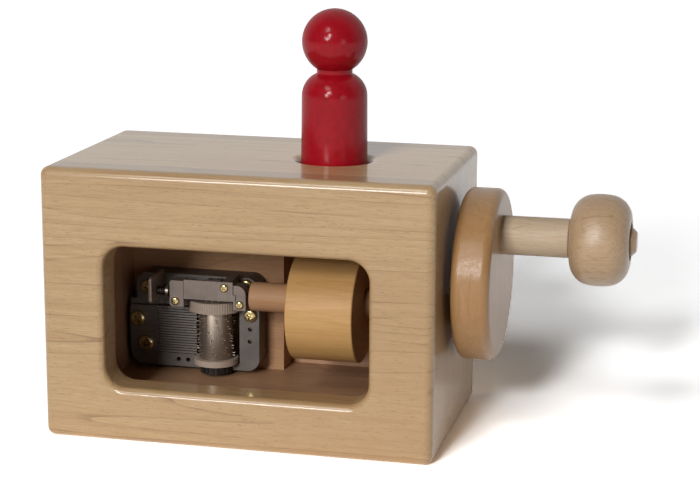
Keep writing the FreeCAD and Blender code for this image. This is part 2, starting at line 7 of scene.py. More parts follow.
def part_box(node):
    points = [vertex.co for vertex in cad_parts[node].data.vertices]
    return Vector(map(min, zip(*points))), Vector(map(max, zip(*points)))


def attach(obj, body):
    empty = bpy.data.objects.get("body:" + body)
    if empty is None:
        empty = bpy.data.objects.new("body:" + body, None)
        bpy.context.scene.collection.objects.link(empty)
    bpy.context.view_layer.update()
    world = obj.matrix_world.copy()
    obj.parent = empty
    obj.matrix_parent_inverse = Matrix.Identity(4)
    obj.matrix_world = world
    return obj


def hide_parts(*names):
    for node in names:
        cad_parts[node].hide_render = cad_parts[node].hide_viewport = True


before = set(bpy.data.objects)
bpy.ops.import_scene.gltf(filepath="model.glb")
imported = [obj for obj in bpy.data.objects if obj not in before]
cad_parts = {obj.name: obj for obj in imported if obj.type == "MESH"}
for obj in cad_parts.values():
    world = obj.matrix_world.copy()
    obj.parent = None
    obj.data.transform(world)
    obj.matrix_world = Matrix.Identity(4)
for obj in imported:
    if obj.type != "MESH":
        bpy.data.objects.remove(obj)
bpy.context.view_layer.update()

bl_info = {
    "name": "Wooden crank automaton",
    "version": (1, 0, 0),
    "blender": (4, 5, 0),
    "location": "View3D > Sidebar > Automaton",
    "description": "Finishes and details of a wooden crank toy with a comb musical movement",
    "category": "Object",
}

# one millimetre in Blender's metres
MM = 0.001

# How far a pattern is turned so that its streaks run along an axis of the part
ALONG_X = (0.0, 0.0, 0.0)
ALONG_Z = (0.0, math.radians(90), 0.0)


def linear(code):
    """A colour written as sRGB hex, as the linear values that the shaders use."""
    values = []
    for start in (0, 2, 4):
        part = int(code[start:start + 2], 16) / 255
        values.append(part / 12.92 if part <= 0.04045 else ((part + 0.055) / 1.055) ** 2.4)
    return tuple(values)


def colour(code, name, description):
    """A colour setting, its value given as sRGB hex."""
    return bpy.props.FloatVectorProperty(
        name=name, description=description, subtype="COLOR", size=3, min=0, max=1,
        default=linear(code))


def length(value, name, description):
    """A length setting, its value given in millimetres."""
    return bpy.props.FloatProperty(
        name=name, description=description, subtype="DISTANCE", unit="LENGTH",
        default=value * MM, precision=5)


class AUTOMATON_PG_wood(bpy.types.PropertyGroup):
    board_light: colour("BE9F74", "Board, early wood", "Pale wood between the boards' growth lines")
    board_deep: colour("AA8457", "Board, late wood", "Deeper wood in the boards' growth lines")
    board_line: colour("83603F", "Board, mineral lines", "Thin brown lines along the boards' grain")
    # the lid top's paler tones are painted light, where the light falls on the lid
    lid_pale_with_painted_light: colour("D8B787", "Lid top, early wood", "Paler wood of the lid's upper face")
    lid_deep_with_painted_light: colour("C5A171", "Lid top, late wood", "Deeper wood of the lid's upper face")
    # the inside tones are darker than the bare wood itself: partly its own tone, partly painted shade of
    # the box's inside
    inside_pale_with_shade: colour("B68E6C", "Inside, early wood", "Unlacquered wood inside the box")
    inside_deep_with_shade: colour("A07858", "Inside, late wood", "Deeper unlacquered wood inside the box")
    knob_light: colour("BCA07F", "Knob, early wood", "Pale wood of the knob and its peg")
    knob_deep: colour("AB8A67", "Knob, late wood", "Deeper wood of the knob and its peg")
    pin_light: colour("C8B59C", "Pin, early wood", "Pale unstained wood of the handle pin")
    pin_deep: colour("B79E82", "Pin, late wood", "Deeper wood of the handle pin")
    disc_light: colour("AD8558", "Disc, early wood", "Warm wood of the crank disc")
    disc_deep: colour("9D7243", "Disc, late wood", "Deeper warm wood of the crank disc")
    cam_light: colour("C9A06A", "Wheel, early wood", "Yellow wood of the eccentric wheel")
    cam_deep: colour("BA8C52", "Wheel, late wood", "Deeper wood of the eccentric wheel")
    shaft_light: colour("C09571", "Shaft, early wood", "Pale wood of the shaft")
    shaft_deep: colour("AD835F", "Shaft, late wood", "Deeper wood of the shaft")
    turned_line: colour("8F6A4A", "Turned parts, flecks", "Flecks and lines in the turned parts")


class AUTOMATON_PG_finish(bpy.types.PropertyGroup):
    enamel: colour("A30C1C", "Red enamel", "Paint of the figure")
    # the bed and the bracket are one zinc in two tones: the bed's darker tone is painted shade low in the
    # box, the bracket's paler one is painted light
    zinc: colour("6F6863", "Bed casting", "Bare grey casting of the movement's bed")
    bracket_lit_zinc: colour("7F736B", "Bracket casting", "Cleaner casting of the bracket and bearing")
    # the end stop's pinkish-brown tone is zinc tinted with a painted reflection of the warm wood round it
    stop_zinc_and_reflection: colour("A28F83", "End stop casting", "Bright worn casting of the end stop")
    comb_steel: colour("77706B", "Comb steel", "Ground spring steel of the comb")
    cylinder_steel: colour("A59789", "Cylinder plating", "Satin plating of the pinned cylinder")
    brass: colour("C9B684", "Brass", "Yellow brass of the screws and the worm")
    dark_steel: colour("57504B", "Dark steel", "Oiled steel of the movement's shaft")
    # the moulding's off-white is darkened as painted shade of the box's inside
    shaded_white_moulding: colour("A99788", "Off-white moulding", "Acetal of the wheel and the end ring")
    black_moulding: colour("2A2624", "Black moulding", "Nylon of the end bush")
    floor: colour("F2F2F2", "Floor", "Pale floor under the toy")


class AUTOMATON_PG_sizes(bpy.types.PropertyGroup):
    comb_head: length(3.1, "Comb screw head", "Radius of the comb screws' heads")
    comb_head_height: length(1.8, "Comb screw height", "Height of the comb screws' heads")
    mounting_head: length(2.7, "Mounting screw head", "Radius of the mounting screws' heads")
    mounting_head_height: length(1.6, "Mounting screw height", "Height of the mounting screws' heads")
    bracket_head: length(1.6, "Bracket screw head", "Radius of the bracket screws' heads")
    bracket_head_height: length(1.0, "Bracket screw height", "Height of the bracket screws' heads")
    melody_pin: length(0.22, "Melody pin", "Radius of a pin on the cylinder")
    melody_pins: bpy.props.IntProperty(
        name="Melody pins", description="Number of pins on the cylinder",
        default=108, min=18, max=400)
    casting_edge: length(0.35, "Casting edge", "Roundness of the castings' edges")
    growth_spacing: length(4.0, "Growth line spacing", "Usual distance between a board's growth lines")
    fibre_width: length(0.32, "Fibre width", "Width of the finest streaks of the grain")
    floor_width: length(6000, "Floor width", "Side of the square floor")
    camera_lens: bpy.props.FloatProperty(
        name="Lens", description="Focal length of the camera",
        subtype="DISTANCE_CAMERA", default=98.36)


# ---- shader nodes ----

def feed(tree, node, values):
    """Gives each named input of a node a value, or links another node's output to it."""
    for name, value in values.items():
        if isinstance(value, bpy.types.NodeSocket):
            tree.links.new(value, node.inputs[name])
        else:
            node.inputs[name].default_value = value


def add_node(tree, kind, values=None, **settings):
    """Adds a node with its settings and the values or links of its inputs."""
    made = tree.nodes.new(kind)
    for name, value in settings.items():
        setattr(made, name, value)
    feed(tree, made, values or {})
    return made


def emptied_tree(owner):
    """Switches a material or a world to nodes and hands back its tree with nothing in it."""
    owner.use_nodes = True
    owner.node_tree.nodes.clear()
    return owner.node_tree


def new_material(name):
    material = bpy.data.materials.new(name)
    tree = emptied_tree(material)
    shader = add_node(tree, "ShaderNodeBsdfPrincipled")
    add_node(tree, "ShaderNodeOutputMaterial", {"Surface": shader.outputs["BSDF"]})
    return material, tree, shader


def calculate(tree, operation, *values):
    """The result of one Math node."""
    return add_node(tree, "ShaderNodeMath", dict(enumerate(values)), operation=operation).outputs[0]


def times(tree, source, factor):
    return calculate(tree, "MULTIPLY", source, factor)


def ramp(tree, source, low, high, start=0.0, end=1.0):
    """Runs evenly from start, where the source is low, to end, where it is high, and no further."""
    values = {"Value": source, "From Min": low, "From Max": high, "To Min": start, "To Max": end}
    return add_node(tree, "ShaderNodeMapRange", values).outputs["Result"]


def scaled(tone, share):
    """A colour with each channel multiplied by the same share."""
    return tuple(channel * share for channel in tone)


def blend_colours(tree, amount, first, second):
    """Mixes two colours, each of them plain or another node's output."""
    shown = [value if isinstance(value, bpy.types.NodeSocket) else (*value, 1.0)
             for value in (first, second)]
    # inputs 6 and 7 and output 2 are a Mix node's colours
    mix = add_node(tree, "ShaderNodeMix", {"Factor": amount, 6: shown[0], 7: shown[1]}, data_type="RGBA")
    return mix.outputs[2]


def mottle(tree, pattern, low, high, tone, share):
    """A tone that darkens to a share of itself as a pattern goes from low to high."""
    return blend_colours(tree, ramp(tree, pattern, low, high), tone, scaled(tone, share))


def bump(tree, height, strength, depth, over=None):
    """The normal of a surface with a height pattern, laid over another normal if one is given."""
    values = {"Height": height, "Strength": strength, "Distance": depth}
    if over is not None:
        values["Normal"] = over
    return add_node(tree, "ShaderNodeBump", values).outputs["Normal"]


def object_place(tree):
    return add_node(tree, "ShaderNodeTexCoord").outputs["Object"]


def split(tree, vector):
    return add_node(tree, "ShaderNodeSeparateXYZ", {"Vector": vector}).outputs


def grain_coordinates(tree, turn):
    """Object coordinates turned so that X runs along the grain."""
    values = {"Vector": object_place(tree), "Rotation": turn}
    return add_node(tree, "ShaderNodeMapping", values).outputs["Vector"]


def streaks(tree, coordinates, width, stretch, detail, offset=0.0):
    """Noise drawn out along the grain; width is the size across it in metres."""
    drawn = add_node(tree, "ShaderNodeMapping", {
        "Vector": coordinates,
        "Location": (offset, offset, offset),
        "Scale": (1 / (width * stretch), 1 / width, 1 / width)}).outputs["Vector"]
    values = {"Vector": drawn, "Scale": 1.0, "Detail": detail, "Roughness": 0.55}
    return add_node(tree, "ShaderNodeTexNoise", values).outputs["Fac"]


def wave(tree, source, period):
    """Runs from -1 to 1 and back once in each period of the source."""
    return calculate(tree, "SINE", times(tree, source, math.tau / period))


# ---- wood ----

# The growth lines are one wide noise cut into this many rings from its lowest to its highest value
RINGS = 9.0
# width of that noise across the grain, in growth line spacings
RING_NOISE_SPAN = 4.5
STRAND_WIDTH = 1.6 * MM
PATCH_WIDTH = 24 * MM
# real pores are 0.1 mm wide at most and fibres finer still; both are drawn wider so that they show
PORE_WIDTH = 0.36 * MM
# a point this near to a board's surface counts as on it
FACE_MARGIN = 0.2 * MM
# how far under the lid's top its paler tone, which is painted light, starts, inside the rounding of the
# edge
LID_PAINTED_LIGHT_DEPTH = 2.0 * MM
LACQUER_IOR = 1.5


def inside_box(tree):
    """1 on the faces that look into the box, which were never sprayed, and 0 elsewhere."""
    low = Vector((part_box("left_panel")[1].x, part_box("front_panel")[1].y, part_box("bottom_panel")[1].z))
    high = Vector((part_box("right_panel")[0].x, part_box("back_panel")[0].y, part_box("top_panel")[0].z))
    offset = add_node(tree, "ShaderNodeVectorMath", {0: object_place(tree), 1: (low + high) / 2},
                      operation="SUBTRACT")
    reach = add_node(tree, "ShaderNodeVectorMath", {0: offset.outputs[0]}, operation="ABSOLUTE")
    parts = split(tree, reach.outputs[0])
    within = 1.0
    for index in range(3):
        limit = (high - low)[index] / 2 + FACE_MARGIN
        within = times(tree, calculate(tree, "LESS_THAN", parts[index], limit), within)
    return within


# where the lid's painted light lies
def painted_light_top_mask(tree, level):
    """0 below the rounded edge of a board whose top is at a level, rising to 1 on its top face."""
    height = split(tree, object_place(tree))["Z"]
    return ramp(tree, height, level - LID_PAINTED_LIGHT_DEPTH, level - FACE_MARGIN)


def lacquered_wood(name, light, deep, line, turn, seed, coat, coat_roughness=0.1, line_share=0.75,
                   flecks=0.45, spacing=1.0, shine=0.5, skin=0.0, bare=None, top=None):
    """Close-grained hardwood, sanded and sprayed with clear gloss lacquer.

    The eye sees wavy brown growth lines a few millimetres apart, fine fibres and short pores along
    the grain, and a smooth wet-looking skin over all of it.

    light, deep and line are its colours, turn the way its grain runs and seed the piece of the
    pattern that it shows. coat is the share of lacquer: 0 is bare wood. coat_roughness is how soft
    the lacquer's shine is, and shine how much the wood under it reflects. line_share and flecks say
    how dark the growth lines and pores are, and spacing how far apart the lines are beside a board's.
    skin breaks the lacquer's shine into glints, as open pores do on turned faces. bare gives the two
    colours of the faces that look into the box, darker than the bare wood itself: partly its own tone,
    partly painted shade of the box's inside. top gives a lid's upper face its two paler colours, which
    are painted light where the light falls on the lid's top, and its level.
    """
    sizes = bpy.context.scene.automaton_sizes
    material, tree, shader = new_material(name)
    coordinates = grain_coordinates(tree, turn)
    # the whole numbers added to the seed give each layer its own piece of the noise
    ring_width = sizes.growth_spacing * spacing * RING_NOISE_SPAN
    growth = streaks(tree, coordinates, ring_width, 20, 1.2, seed)
    rings = calculate(tree, "FRACT", times(tree, growth, RINGS))
    fibres = streaks(tree, coordinates, sizes.fibre_width, 24, 3.0, seed + 3)
    strands = streaks(tree, coordinates, STRAND_WIDTH, 30, 2.0, seed + 7)
    patches = streaks(tree, coordinates, PATCH_WIDTH, 4, 2.0, seed + 11)
    pores = streaks(tree, coordinates, PORE_WIDTH, 7, 1.0, seed + 17)
    # painted light: the lid's top face takes the paler tones
    if top:
        upper = painted_light_top_mask(tree, top[2])
        light = blend_colours(tree, upper, light, top[0])
        deep = blend_colours(tree, upper, deep, top[1])
    # partly painted shade: the faces inside the box take the darker inside tones
    if bare:
        within = inside_box(tree)
        light = blend_colours(tree, within, light, bare[0])
        deep = blend_colours(tree, within, deep, bare[1])
    # each layer's pattern, where it starts and where it is full, and its share of the deep tone
    layers = ((rings, 0.35, 1.0, 0.35), (patches, 0.40, 0.70, 0.5),
              (strands, 0.46, 0.70, 0.5), (fibres, 0.42, 0.70, 0.75))
    tint = light
    for pattern, low, high, share in layers:
        tint = blend_colours(tree, times(tree, ramp(tree, pattern, low, high), share), tint, deep)
    ring_edge = times(tree, ramp(tree, rings, 0.90, 0.985), ramp(tree, strands, 0.34, 0.62))
    tint = blend_colours(tree, times(tree, ring_edge, line_share), tint, line)
    tint = blend_colours(tree, times(tree, ramp(tree, pores, 0.64, 0.72), flecks), tint, line)
    feed(tree, shader, {
        "Base Color": tint,
        "Normal": bump(tree, fibres, 0.15, 0.04 * MM),
        "Roughness": 0.5,
        "IOR": LACQUER_IOR,
        "Specular IOR Level": shine,
        "Coat Weight": coat,
        "Coat Roughness": coat_roughness,
        "Coat IOR": LACQUER_IOR})
    if skin:
        feed(tree, shader, {"Coat Normal": bump(tree, pores, skin, 0.12 * MM)})
    if bare:
        feed(tree, shader, {"Coat Weight": ramp(tree, within, 0.0, 1.0, coat, 0.0)})
    return material


def enamelled_wood(name, paint):
    """Turned wood under brushed gloss enamel: an even deep colour, its shine broken by brush marks."""
    material, tree, shader = new_material(name)
    coordinates = grain_coordinates(tree, ALONG_X)
    swell = streaks(tree, coordinates, 2.2 * MM, 1, 2.0)
    # real brush marks are about 0.1 mm wide; drawn at 0.5 mm so that they show
    marks = streaks(tree, coordinates, 0.5 * MM, 1, 2.0, 4.0)
    brushed = bump(tree, marks, 0.5, 0.07 * MM, bump(tree, swell, 0.3, 0.10 * MM))
    feed(tree, shader, {
        "Base Color": mottle(tree, swell, 0.35, 0.65, paint, 0.84),
        "Normal": brushed,
        "Coat Normal": brushed,
        "Roughness": 0.5,
        "IOR": LACQUER_IOR,
        "Specular IOR Level": 0.05,
        "Coat Weight": 0.35,
        "Coat Roughness": 0.1})
    return material


# ---- metal and plastic ----

def uneven(tree, pattern, roughness):
    """A roughness that is a little lower and higher by turns, following a pattern."""
    return ramp(tree, pattern, 0.0, 1.0, roughness - 0.05, roughness + 0.08)


def cast_metal(name, tone, roughness):
    """Bare zinc die casting: dull grey metal with a fine orange-peel skin and slight staining."""
    material, tree, shader = new_material(name)
    coordinates = grain_coordinates(tree, ALONG_X)
    stains = streaks(tree, coordinates, 5.0 * MM, 1, 3.0)
    # real orange peel is about 0.2 mm wide; drawn at 0.5 mm so that it shows
    peel = streaks(tree, coordinates, 0.5 * MM, 1, 2.0, 5.0)
    feed(tree, shader, {
        "Base Color": mottle(tree, stains, 0.35, 0.68, tone, 0.82),
        "Roughness": uneven(tree, stains, roughness),
        "Normal": bump(tree, peel, 0.25, 0.04 * MM),
        "Metallic": 0.6})
    return material


def ground_steel(name, tone, turn, roughness):
    """Ground or turned steel: fine parallel scratches along one direction, a soft streaky shine."""
    material, tree, shader = new_material(name)
    coordinates = grain_coordinates(tree, turn)
    # real grinding lines are about 0.05 mm wide; drawn at 0.2 mm so that they show
    scratches = streaks(tree, coordinates, 0.2 * MM, 30, 2.0)
    feed(tree, shader, {
        "Base Color": mottle(tree, scratches, 0.35, 0.7, tone, 0.8),
        "Roughness": uneven(tree, scratches, roughness),
        "Normal": bump(tree, scratches, 0.2, 0.02 * MM),
        "Metallic": 0.9})
    return material


def threaded_steel(name, tone):
    """Turned steel with a cut thread, dark with oil: crests in the steel's tone over furrows darkened as
    painted shade.
    """
    material, tree, shader = new_material(name)
    # a real thread of this size has a 0.5 mm pitch; drawn at 0.9 mm so that it shows
    furrows = wave(tree, split(tree, object_place(tree))["X"], 0.9 * MM)
    feed(tree, shader, {
        # painted shade: the thread's furrows are coloured at a quarter of the steel's tone
        "Base Color": blend_colours(tree, ramp(tree, furrows, -0.6, 0.6), scaled(tone, 0.25), tone),
        "Normal": bump(tree, furrows, 0.6, 0.12 * MM),
        "Metallic": 0.9,
        "Roughness": 0.42})
    return material


def machined_brass(name, tone):
    """Machined brass, a little tarnished: warm and bright, with duller patches."""
    material, tree, shader = new_material(name)
    tarnish = streaks(tree, grain_coordinates(tree, ALONG_X), 1.6 * MM, 1, 1.0)
    feed(tree, shader, {
        "Base Color": mottle(tree, tarnish, 0.4, 0.7, tone, 0.8),
        "Roughness": ramp(tree, tarnish, 0.0, 1.0, 0.14, 0.24),
        "Metallic": 0.9})
    return material


def moulded_plastic(name, tone, roughness, ridges=0):
    """Injection-moulded acetal or nylon: even colour, fine matt texture, soft sheen.

    ridges is the number of upright ridges moulded round the cylinder's axis, their grooves darkened as
    painted shade.
    """
    material, tree, shader = new_material(name)
    coordinates = grain_coordinates(tree, ALONG_X)
    # real moulded texture is about 0.1 mm wide; drawn at 0.35 mm so that it shows
    texture = streaks(tree, coordinates, 0.35 * MM, 1, 2.0)
    cloud = streaks(tree, coordinates, 4.0 * MM, 1, 2.0, 9.0)
    tint = mottle(tree, cloud, 0.35, 0.7, tone, 0.9)
    normal = bump(tree, texture, 0.15, 0.02 * MM)
    if ridges:
        low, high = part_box("pin_cylinder")
        offset = add_node(tree, "ShaderNodeVectorMath", {0: object_place(tree), 1: (low + high) / 2},
                          operation="SUBTRACT")
        parts = split(tree, offset.outputs[0])
        angle = calculate(tree, "ARCTAN2", parts["Y"], parts["X"])
        ribs = wave(tree, angle, math.tau / ridges)
        # painted shade: the grooves between the ridges are coloured darker
        tint = blend_colours(tree, ramp(tree, ribs, 0.2, -0.9), tint, scaled(tone, 0.82))
        normal = bump(tree, ribs, 0.45, 0.12 * MM, normal)
    feed(tree, shader, {"Base Color": tint, "Normal": normal, "Roughness": roughness, "IOR": 1.48})
    return material


def dress(material, *nodes):
    """Gives CAD nodes a finish."""
    for name in nodes:
        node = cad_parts[name]
        for slot in node.material_slots:
            slot.material = material
        if not node.material_slots:
            node.data.materials.append(material)


# ---- shapes ----

# edges that turn by less than this are shaded smooth, in degrees
SMOOTH_ANGLE = 32
# edges of a casting that turn by more than this are rounded, in degrees
ROUNDED_ANGLE = 40
# faces that meet at less than this are merged before a casting's edges are rounded, in degrees
MERGED_ANGLE = 0.5
# a face counts as facing up or down if its normal rises or falls by this much
FACING = 0.9
# points nearer than this are one point
SAME_POINT = 1e-6


def pick(*pieces):
    """Selects these objects and no others, and makes the first one active."""
    if bpy.context.mode != "OBJECT":
        bpy.ops.object.mode_set(mode="OBJECT")
    bpy.ops.object.select_all(action="DESELECT")
    for piece in pieces:
        piece.select_set(True)
    if pieces:
        bpy.context.view_layer.objects.active = pieces[0]


def pick_faces(chosen):
    """In edit mode, selects only the faces that chosen(centre, normal) names."""
    mesh = bmesh.from_edit_mesh(bpy.context.object.data)
    for face in mesh.faces:
        face.select_set(bool(chosen(face.calc_center_median(), face.normal)))
    mesh.select_flush_mode()
    bmesh.update_edit_mesh(bpy.context.object.data)


def edit_faces():
    """Goes to edit mode, to work on faces."""
    bpy.ops.object.mode_set(mode="EDIT")
    bpy.ops.mesh.select_mode(type="FACE")


def modify(piece, kind, **settings):
    """Changes a piece's mesh by one modifier with its settings."""
    modifier = piece.modifiers.new(kind.lower(), kind)
    for name, value in settings.items():
        setattr(modifier, name, value)
    pick(piece)
    bpy.ops.object.modifier_apply(modifier=modifier.name)


def remove(piece):
    bpy.data.objects.remove(piece, do_unlink=True)


def cut_away(piece, tool):
    """Cuts a tool's shape out of a piece and takes the tool away."""
    modify(piece, "BOOLEAN", operation="DIFFERENCE", solver="EXACT", object=tool)
    remove(tool)


def own_copy(original, name):
    """A copy with its own mesh."""
    copied = original.copy()
    copied.data = original.data.copy()
    copied.name = name
    bpy.context.scene.collection.objects.link(copied)
    return copied


def join_pieces(name, pieces):
    pick(*pieces)
    bpy.ops.object.join()
    joined = bpy.context.object
    joined.name = name
    return joined


def settle(piece, material, body, slot, *nodes):
    """Fixes a finished piece's place in its mesh, gives it its finish and hangs it on its body."""
    pick(piece)
    bpy.ops.object.transform_apply(location=True, rotation=True, scale=True)
    bpy.ops.object.shade_smooth_by_angle(angle=math.radians(SMOOTH_ANGLE))
    piece.data.materials.clear()
    piece.data.materials.append(material)
    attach(piece, body)
    if nodes:
        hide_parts(*nodes)


def eased_copy(node, name, width):
    """A copy of a CAD node with its edges rounded as a casting's are."""
    copied = own_copy(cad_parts[node], name)
    copied.parent = None
    copied.matrix_world = Matrix.Identity(4)
    for key in list(copied.keys()):
        del copied[key]
    pick(copied)
    bpy.ops.object.mode_set(mode="EDIT")
    bpy.ops.mesh.select_all(action="SELECT")
    bpy.ops.mesh.remove_doubles(threshold=SAME_POINT)
    bpy.ops.mesh.dissolve_limited(angle_limit=math.radians(MERGED_ANGLE))
    bpy.ops.object.mode_set(mode="OBJECT")
    modify(copied, "BEVEL", width=width, segments=2, limit_method="ANGLE",
           angle_limit=math.radians(ROUNDED_ANGLE), use_clamp_overlap=True)
    return copied


# ---- screws ----

# share of a screw head's height that its straight rim takes
RIM_SHARE = 0.42
# rings of the dome above it: the share of the height that each rises, and how far it draws in
DOME_RINGS = ((0.26, 0.955), (0.18, 0.90), (0.10, 0.80), (0.04, 0.66))
# the cross recess: length and width beside the head's radius, depth beside its height, and taper
RECESS_LENGTH = 1.3
RECESS_WIDTH = 0.32
RECESS_HEIGHT = 1.3
RECESS_TAPER = 0.5

# Each screw's X and Z, the Y of its seat, all in millimetres, and the degrees its recess is turned
COMB_SCREWS = (
    (-54.325, 33.298, 7.5, 35),
    (-51.025, 23.604, 7.5, 62),
)
MOUNTING_SCREWS = (
    (-50.625, 45.9, 9.0, 20),
    (-10.625, 48.6, 9.0, 48),
    (-9.025, 36.9, 9.0, 75),
)
BRACKET_SCREWS = (
    (-35.225, 44.2, -4.0, 10),
    (-15.525, 50.6, -4.6, 55),
    (-9.625, 44.2, -4.0, 30),
)


def pan_head_screw(head, height, shank, reach):
    """One cross-recessed pan head screw standing on its seat at the origin, head upwards."""
    rim = height * RIM_SHARE
    pick()
    bpy.ops.mesh.primitive_cylinder_add(vertices=32, radius=head, depth=rim, location=(0, 0, rim / 2))
    body = bpy.context.object
    bpy.ops.object.transform_apply(location=True, rotation=False, scale=False)
    edit_faces()
    level = rim
    for rise, shrink in DOME_RINGS:
        pick_faces(lambda centre, normal: normal.z > FACING and centre.z > level - SAME_POINT)
        bpy.ops.mesh.extrude_region_move(TRANSFORM_OT_translate={"value": (0, 0, rise * height)})
        bpy.ops.transform.resize(value=(shrink, shrink, 1), center_override=(0, 0, 0))
        level += rise * height
    pick_faces(lambda centre, normal: normal.z < -FACING)
    bpy.ops.mesh.inset(thickness=head - shank, depth=0)
    bpy.ops.mesh.extrude_region_move(TRANSFORM_OT_translate={"value": (0, 0, -reach)})
    bpy.ops.object.mode_set(mode="OBJECT")
    wing_size = (head * RECESS_LENGTH, head * RECESS_WIDTH, height * RECESS_HEIGHT)
    for turn in (0, 90):
        bpy.ops.object.select_all(action="DESELECT")
        bpy.ops.mesh.primitive_cube_add(size=1, location=(0, 0, height),
                                        rotation=(0, 0, math.radians(turn)), scale=wing_size)
        wing = bpy.context.object
        edit_faces()
        pick_faces(lambda centre, normal: normal.z < -FACING)
        bpy.ops.transform.resize(value=(RECESS_TAPER, RECESS_TAPER, 1), center_override=(0, 0, 0))
        bpy.ops.object.mode_set(mode="OBJECT")
        cut_away(body, wing)
    return body


def drive_screws(name, node, kind, screws, material):
    """Puts copies of one screw at their places, facing the front, each turned as it was driven."""
    model = pan_head_screw(*kind)
    copies = []
    for index, (x, z, seat, turn) in enumerate(screws):
        copied = own_copy(model, name + str(index))
        facing = Matrix.Rotation(math.radians(90), 4, "X") @ Matrix.Rotation(math.radians(turn), 4, "Z")
        copied.matrix_world = Matrix.Translation((x * MM, seat * MM, z * MM)) @ facing
        copies.append(copied)
    remove(model)
    settle(join_pieces(name, copies), material, "case", "brass", node)


# ---- operators ----

class AUTOMATON_OT_box(bpy.types.Operator):
    """Finish the six lacquered boards of the box and the bare block inside it"""
    bl_idname = "automaton.box"
    bl_label = "Box boards"

    # each board, the way its grain runs and the piece of the pattern that it shows
    BOARDS = (
        ("front_panel", ALONG_X, 0.0),
        ("back_panel", ALONG_X, 21.0),
        ("top_panel", ALONG_X, 43.0),
        ("bottom_panel", ALONG_X, 61.0),
        ("left_panel", ALONG_Z, 83.0),
        ("right_panel", ALONG_Z, 97.0),
    )

    def execute(self, context):
        wood = context.scene.automaton_wood
        # the inside tones carry painted shade of the box's inside
        bare = (wood.inside_pale_with_shade, wood.inside_deep_with_shade)
        # the lid's paler top tones are painted light
        lid_painted_light = (wood.lid_pale_with_painted_light, wood.lid_deep_with_painted_light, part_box("top_panel")[1].z)
        for name, turn, seed in self.BOARDS:
            dress(lacquered_wood("lacquered_maple_" + name, wood.board_light, wood.board_deep,
                                 wood.board_line, turn, seed, 0.62, bare=bare,
                                 top=lid_painted_light if name == "top_panel" else None), name)
        # the block inside the box takes the inside tones, with their painted shade
        dress(lacquered_wood("bare_maple_block", *bare, wood.board_line, ALONG_X, 120.0, 0.0,
                             line_share=0.3, shine=0.1), "mounting_block")
        return {"FINISHED"}


class AUTOMATON_OT_turnings(bpy.types.Operator):
    """Finish the shaft, the eccentric wheel, the disc, the pin, the knob and its peg"""
    bl_idname = "automaton.turnings"
    bl_label = "Turned wood"

    def execute(self, context):
        wood = context.scene.automaton_wood
        line = wood.turned_line
        dress(lacquered_wood("turned_birch_wheel", wood.cam_light, wood.cam_deep, line,
                             ALONG_X, 5.0, 0.0, line_share=0.2, flecks=0.1, spacing=0.6,
                             shine=0.3), "lift_cam")
        dress(lacquered_wood("dowel_birch_shaft", wood.shaft_light, wood.shaft_deep, line,
                             ALONG_X, 15.0, 0.0, line_share=0.2, flecks=0.1, spacing=0.4,
                             shine=0.2), "drive_shaft")
        dress(lacquered_wood("lacquered_birch_disc", wood.disc_light, wood.disc_deep, line,
                             ALONG_Z, 25.0, 0.5, coat_roughness=0.2, line_share=0.3, spacing=0.8,
                             shine=0.3, skin=1.0), "crank_disc")
        dress(lacquered_wood("sealed_birch_pin", wood.pin_light, wood.pin_deep, line,
                             ALONG_X, 35.0, 0.1, coat_roughness=0.5, line_share=0.3, flecks=0.3,
                             spacing=0.3, shine=0.2), "crank_pin")
        dress(lacquered_wood("lacquered_birch_knob", wood.knob_light, wood.knob_deep, line,
                             ALONG_X, 55.0, 0.6, coat_roughness=0.28, line_share=0.7, flecks=0.6,
                             spacing=0.28, shine=0.3, skin=1.0), "knob", "knob_peg")
        return {"FINISHED"}


class AUTOMATON_OT_figure(bpy.types.Operator):
    """Finish the red peg figure"""
    bl_idname = "automaton.figure"
    bl_label = "Peg figure"

    def execute(self, context):
        dress(enamelled_wood("red_enamel", context.scene.automaton_finish.enamel), "peg_figure")
        return {"FINISHED"}


class AUTOMATON_OT_castings(bpy.types.Operator):
    """Finish the castings of the musical movement: its bed, bearing, bracket and end stop"""
    bl_idname = "automaton.castings"
    bl_label = "Castings"

    def execute(self, context):
        finish = context.scene.automaton_finish
        edge = context.scene.automaton_sizes.casting_edge
        # one zinc in two tones: the bed's darker tone is painted shade, the bracket's paler one painted
        # light
        bed = cast_metal("zinc_die_casting_bed", finish.zinc, 0.55)
        lit_zinc = cast_metal("zinc_die_casting_bracket", finish.bracket_lit_zinc, 0.5)
        # the end stop's tone holds a painted reflection of the warm wood
        reflection_tinted = cast_metal("zinc_die_casting_stop", finish.stop_zinc_and_reflection, 0.45)
        for node, material in (("movement_bed", bed), ("end_stop", reflection_tinted),
                               ("worm_bracket", lit_zinc), ("end_bearing", lit_zinc)):
            dress(material, node)
            copied = eased_copy(node, node + "_cast", edge)
            settle(copied, material, "case", "zinc_casting", node)
            # large flats stay flat, and the rounded edges carry the turn of the light
            modify(copied, "WEIGHTED_NORMAL", weight=100, keep_sharp=True)
        return {"FINISHED"}


class AUTOMATON_OT_comb(bpy.types.Operator):
    """Finish the comb, the collar and the two steel shafts"""
    bl_idname = "automaton.comb"
    bl_label = "Comb and steel shafts"

    def execute(self, context):
        finish = context.scene.automaton_finish
        dress(ground_steel("ground_spring_steel", finish.comb_steel, ALONG_X, 0.5), "comb")
        dress(ground_steel("turned_steel", finish.cylinder_steel, ALONG_Z, 0.3),
              "shaft_collar", "cylinder_arbor")
        dress(threaded_steel("oiled_threaded_steel", finish.dark_steel), "worm_shaft")
        return {"FINISHED"}


